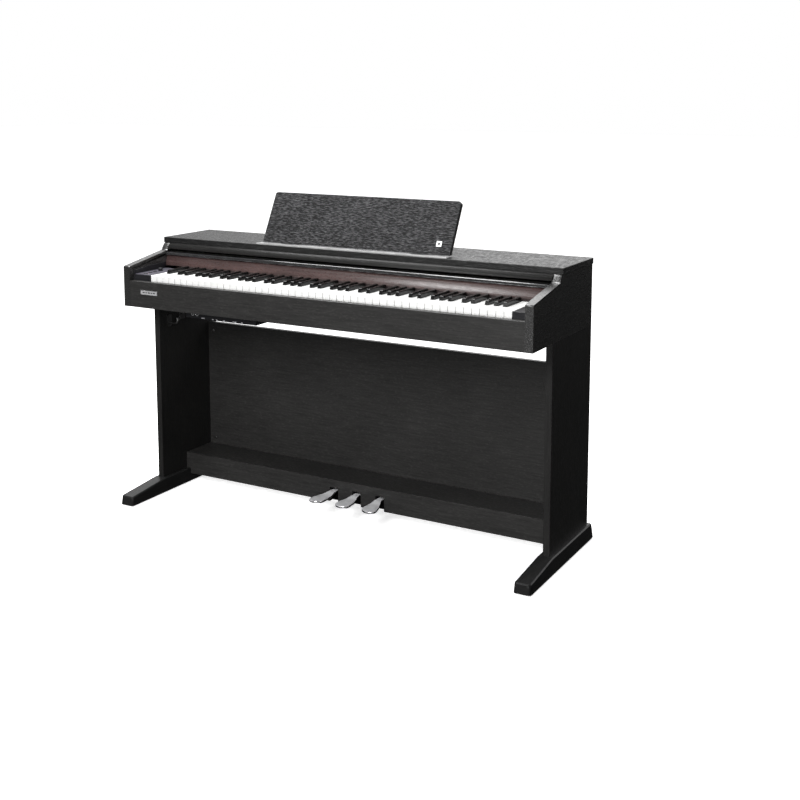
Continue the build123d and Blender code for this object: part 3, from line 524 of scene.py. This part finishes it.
def panel_prints():
    """Scale round the volume knob, plain marks beside the buttons and a lamp."""
    knob_low, knob_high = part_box("volume_knob")
    knob_x, knob_y = middle_of(knob_low, knob_high)
    knob_radius = (knob_high.x - knob_low.x) / 2
    knob_gap = 2.2 * MM
    ticks = 11
    tick_turn = 2 * KNOB_SWEEP / (ticks - 1)
    half_width = 0.25 * MM
    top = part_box("control_panel")[1].z
    thickness = 0.15 * MM

    def scale(work):
        for tick in range(ticks):
            length = (3.0 if tick % 5 == 0 else 1.8) * MM
            distance = knob_radius + knob_gap + length / 2
            turned = Matrix.Rotation(math.radians(KNOB_SWEEP - tick * tick_turn), 2)
            corners = []
            for side, end in ((-1, -1), (1, -1), (1, 1), (-1, 1)):
                point = turned @ Vector((side * half_width, distance + end * length / 2))
                corners.append((knob_x + point.x, knob_y + point.y))
            add_outline(work, corners, top, top + thickness)

    def marks(work):
        for name in ("power_button", "function_button_1", "function_button_2"):
            x, y = middle_of(*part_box(name))
            for width, shift in ((7.0, 5.5), (4.5, 7.2)):
                bar = rounded_corners(width * MM, 0.7 * MM, 0.3 * MM, 2)
                add_outline(work, shifted(bar, x, y + shift * MM), top, top + thickness)

    def lamp(work):
        button_low, button_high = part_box("power_button")
        dot = circle(1.1 * MM, 20)
        y = middle_of(button_low, button_high)[1]
        add_outline(work, shifted(dot, button_high.x + 5.0 * MM, y), top, top + 0.6 * MM)

    mesh_piece("volume_scale", scale, print_white, ROOT, PRINT_BEVEL)
    mesh_piece("button_marks", marks, print_white, ROOT, PRINT_BEVEL)
    mesh_piece("power_lamp", lamp, lamp_red, ROOT)


def jack_details():
    """Metal collars round the headphone jacks and plain printed marks below them."""
    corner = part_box("jack_box")[0]
    collar_inside = circle(3.3 * MM, 48)
    collar_outside = circle(5.6 * MM, 48)
    bars = ((66.0, 12.0), (104.0, 5.0), (120.0, 5.0), (146.0, 9.0), (186.0, 14.0), (214.0, 6.0))

    def collar(work):
        add_frame(work, collar_inside, collar_outside, 0.0, 1.6 * MM)

    def marks(work):
        for middle, width in bars:
            bar = rounded_corners(width * MM, 2.6 * MM, 0.8 * MM, 3)
            add_outline(work, shifted(bar, middle * MM, 0.0), 0.0, 0.2 * MM)

    for number, from_left in enumerate((27.0 * MM, 44.0 * MM), 1):
        place = facing_front(corner.x + from_left, corner.y, JACK_AXIS_Z)
        mesh_piece(f"jack_collar_{number}", collar, chrome, ROOT, 0.4 * MM, place)
    place = facing_front(corner.x, corner.y, corner.z + 3.6 * MM)
    mesh_piece("jack_box_marks", marks, print_white, ROOT, 0.04 * MM, place)


def speaker_grilles():
    """Round slotted grilles under the keybed, one below each speaker."""
    speakers_low, speakers_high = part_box("speakers")
    speaker_half = 56.0 * MM
    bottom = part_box("bottom_board")[0].z
    y = middle_of(speakers_low, speakers_high)[1]
    rim_inside = circle(47.0 * MM, 64)
    rim_outside = circle(53.0 * MM, 64)
    slat_reach = 47.5 * MM
    slat_spacing = 6.0 * MM
    slats_each_side = 7

    def grille(work):
        add_frame(work, rim_inside, rim_outside, -2.0 * MM, 0.0)
        for row in range(-slats_each_side, slats_each_side + 1):
            offset = row * slat_spacing
            half_length = math.sqrt(slat_reach ** 2 - offset * offset)
            slat = rounded_corners(2 * half_length, 2.4 * MM, 1.0 * MM, 3)
            add_outline(work, shifted(slat, 0.0, offset), -1.8 * MM, -0.4 * MM)

    sides = (("left", speakers_low.x + speaker_half), ("right", speakers_high.x - speaker_half))
    for side, x in sides:
        place = Matrix.Translation((x, y, bottom))
        mesh_piece(side + "_speaker_grille", grille, black_satin, ROOT,
                   0.4 * MM, place)


def add_screw(work, place):
    """A dished pan head, its face along +z of a place."""
    steps = 20
    profile = [(1.6, 1.4), (2.7, 1.0), (3.3, 0.4), (3.4, -0.2)]  # (radius, height) in millimetres
    head = bmesh.new()
    rings = []
    for radius, height in profile:
        rings.append([head.verts.new((x, y, height * MM)) for x, y in circle(radius * MM, steps)])
    dish = head.verts.new((0.0, 0.0, 0.7 * MM))
    for i in range(steps):
        j = (i + 1) % steps
        head.faces.new((dish, rings[0][i], rings[0][j]))
        for near, far in zip(rings, rings[1:]):
            head.faces.new((near[i], far[i], far[j], near[j]))
    head.faces.new(rings[-1][::-1])
    head.transform(place)
    mesh = bpy.data.meshes.new("screw_head")
    head.to_mesh(mesh)
    head.free()
    work.from_mesh(mesh)
    bpy.data.meshes.remove(mesh)


def pedal_unit_cover():
    """Bent sheet round the sides and back of the pedal levers, so no light shows past them."""
    frame_low, frame_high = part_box("pedal_frame")
    clearance = 0.5 * MM
    sheet = 1.5 * MM
    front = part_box("kick_panel")[1].y + clearance
    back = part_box("rear_panel")[0].y - clearance
    half = frame_high.x
    inner = half - sheet
    outline = [(-half, front), (-inner, front), (-inner, back - sheet), (inner, back - sheet),
               (inner, front), (half, front), (half, back), (-half, back)]

    def cover(work):
        add_outline(work, outline, frame_low.z + 2.0 * MM, frame_high.z - 3.5 * MM)

    mesh_piece("pedal_unit_cover", cover, black_steel, ROOT)


def back_screws():
    """Two rows of screws that hold the back board, seen from behind."""
    board_low, board_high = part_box("back_board")
    inset = 9.0 * MM
    count = 7
    spacing = (board_high.x - board_low.x - 2 * inset) / (count - 1)
    turn = Matrix.Rotation(math.radians(-90.0), 4, "X")

    def screws(work):
        for i in range(count):
            x = board_low.x + inset + i * spacing
            for z in (board_low.z + inset, board_high.z - inset):
                add_screw(work, Matrix.Translation((x, board_high.y, z)) @ turn)

    mesh_piece("back_board_screws", screws, dark_zinc, ROOT, 0.1 * MM)


def make_details():
    badge_plate()
    rest_emblem()
    panel_prints()
    jack_details()
    speaker_grilles()
    pedal_unit_cover()
    back_screws()


# --- stage -----------------------------------------------------------------------------
def make_floor():
    """Plain pale floor that lights nothing and shows soft shadows."""
    half_size = 30.0
    darker = (0.9, 0.9, 0.9)
    lighter = (0.93, 0.93, 0.93)
    shader = Shader("pale_floor")
    mottle = shader.noise(shader.coordinates(), 3.0)
    shader.drive("Base Color", shader.ramp(mottle, [(0.3, darker), (0.7, lighter)]))
    shader.fixed("Roughness", 0.95)
    shader.fixed("Specular IOR Level", 0.0)
    shader.fixed("Emission Color", (1.0, 1.0, 1.0, 1.0))
    shader.fixed("Emission Strength", 0.7)
    corners = [(-half_size, -half_size, 0), (half_size, -half_size, 0),
               (half_size, half_size, 0), (-half_size, half_size, 0)]
    mesh = bpy.data.meshes.new("floor")
    mesh.from_pydata(corners, [], [(0, 1, 2, 3)])
    mesh.materials.append(shader.material)
    floor = bpy.data.objects.new("floor", mesh)
    floor.visible_glossy = False
    floor.visible_diffuse = False
    bpy.context.scene.collection.objects.link(floor)


def make_world():
    """White surroundings for the eye.

    Their light is soft: strongest high up behind the piano, and dim low down.
    """
    wall_strength = 1.35
    softbox_strength = 3.0
    side_strength = 0.3
    ground_strength = 0.03
    white = (1.0, 1.0, 1.0, 1.0)
    world = bpy.data.worlds.new("studio")
    studio = NodeTree(world)
    combine = studio.combine

    def ease(source, low, high, new_low=0.0, new_high=1.0):
        return studio.spread(source, low, high, new_low, new_high, "SMOOTHSTEP")

    parts = studio.add("ShaderNodeSeparateXYZ")
    studio.link(studio.add("ShaderNodeTexCoord").outputs["Generated"], parts.inputs[0])
    towards_x, towards_y, towards_z = (parts.outputs[axis] for axis in "XYZ")
    sky = ease(towards_z, -0.05, 0.12)
    behind = ease(towards_y, 0.72, 0.96)
    high_up = ease(towards_z, 0.3, 0.5)
    wide_behind = ease(towards_y, 0.3, 0.75)
    from_left = ease(towards_x, -0.5, 0.6, 1.0, 0.08)
    ahead = ease(towards_y, -0.7, 0.0, 0.16, 0.0)
    wall = combine("MULTIPLY", behind, wall_strength)
    softbox = combine("MULTIPLY", combine("MULTIPLY", high_up, wide_behind), softbox_strength)
    sides = combine("MULTIPLY", from_left, side_strength)
    above = combine("MULTIPLY", combine("ADD", sides, combine("ADD", wall, softbox)), sky)
    ground = combine("SUBTRACT", 1.0, sky)
    below = combine("MULTIPLY", combine("ADD", ahead, ground_strength), ground)
    light = studio.add("ShaderNodeBackground")
    studio.link(combine("ADD", above, below), light.inputs["Strength"])
    seen = studio.add("ShaderNodeBackground")
    seen.inputs["Strength"].default_value = 1.0
    for background in (light, seen):
        background.inputs["Color"].default_value = white
    chooser = studio.add("ShaderNodeMixShader")
    path = studio.add("ShaderNodeLightPath")
    studio.link(path.outputs["Is Camera Ray"], chooser.inputs[0])
    studio.link(light.outputs[0], chooser.inputs[1])
    studio.link(seen.outputs[0], chooser.inputs[2])
    output = studio.add("ShaderNodeOutputWorld")
    studio.link(chooser.outputs[0], output.inputs["Surface"])
    bpy.context.scene.world = world
    bpy.context.scene.view_settings.view_transform = "Standard"


def area_light(name, place, target, size, power):
    """A rectangular light that faces a target and isn't seen itself."""
    data = bpy.data.lights.new(name, "AREA")
    data.shape = "RECTANGLE"
    data.size = size[0]
    data.size_y = size[1]
    data.energy = power
    light = bpy.data.objects.new(name, data)
    light.location = place
    light.visible_camera = False
    direction = Vector(target) - Vector(place)
    light.rotation_euler = direction.to_track_quat("-Z", "Y").to_euler()
    bpy.context.scene.collection.objects.link(light)


def make_stage():
    make_floor()
    make_world()
    area_light("key_light", (0.0, -3.0, 2.2), (-0.1, 0.0, 0.5), (1.4, 1.4), 100.0)
    area_light("fill_light", (0.9, -2.4, 0.35), (-0.5, 0.1, 0.4), (1.0, 0.5), 18.0)
    area_light("top_light", (-1.0, 0.1, 3.0), (-1.0, 0.1, 0.0), (2.6, 1.1), 150.0)
    area_light("strip_light", (-0.8, -1.5, 3.0), (-0.6, 0.0, 0.5), (2.6, 0.3), 14.0)


make_camera()
paint_cad()
make_details()
make_stage()
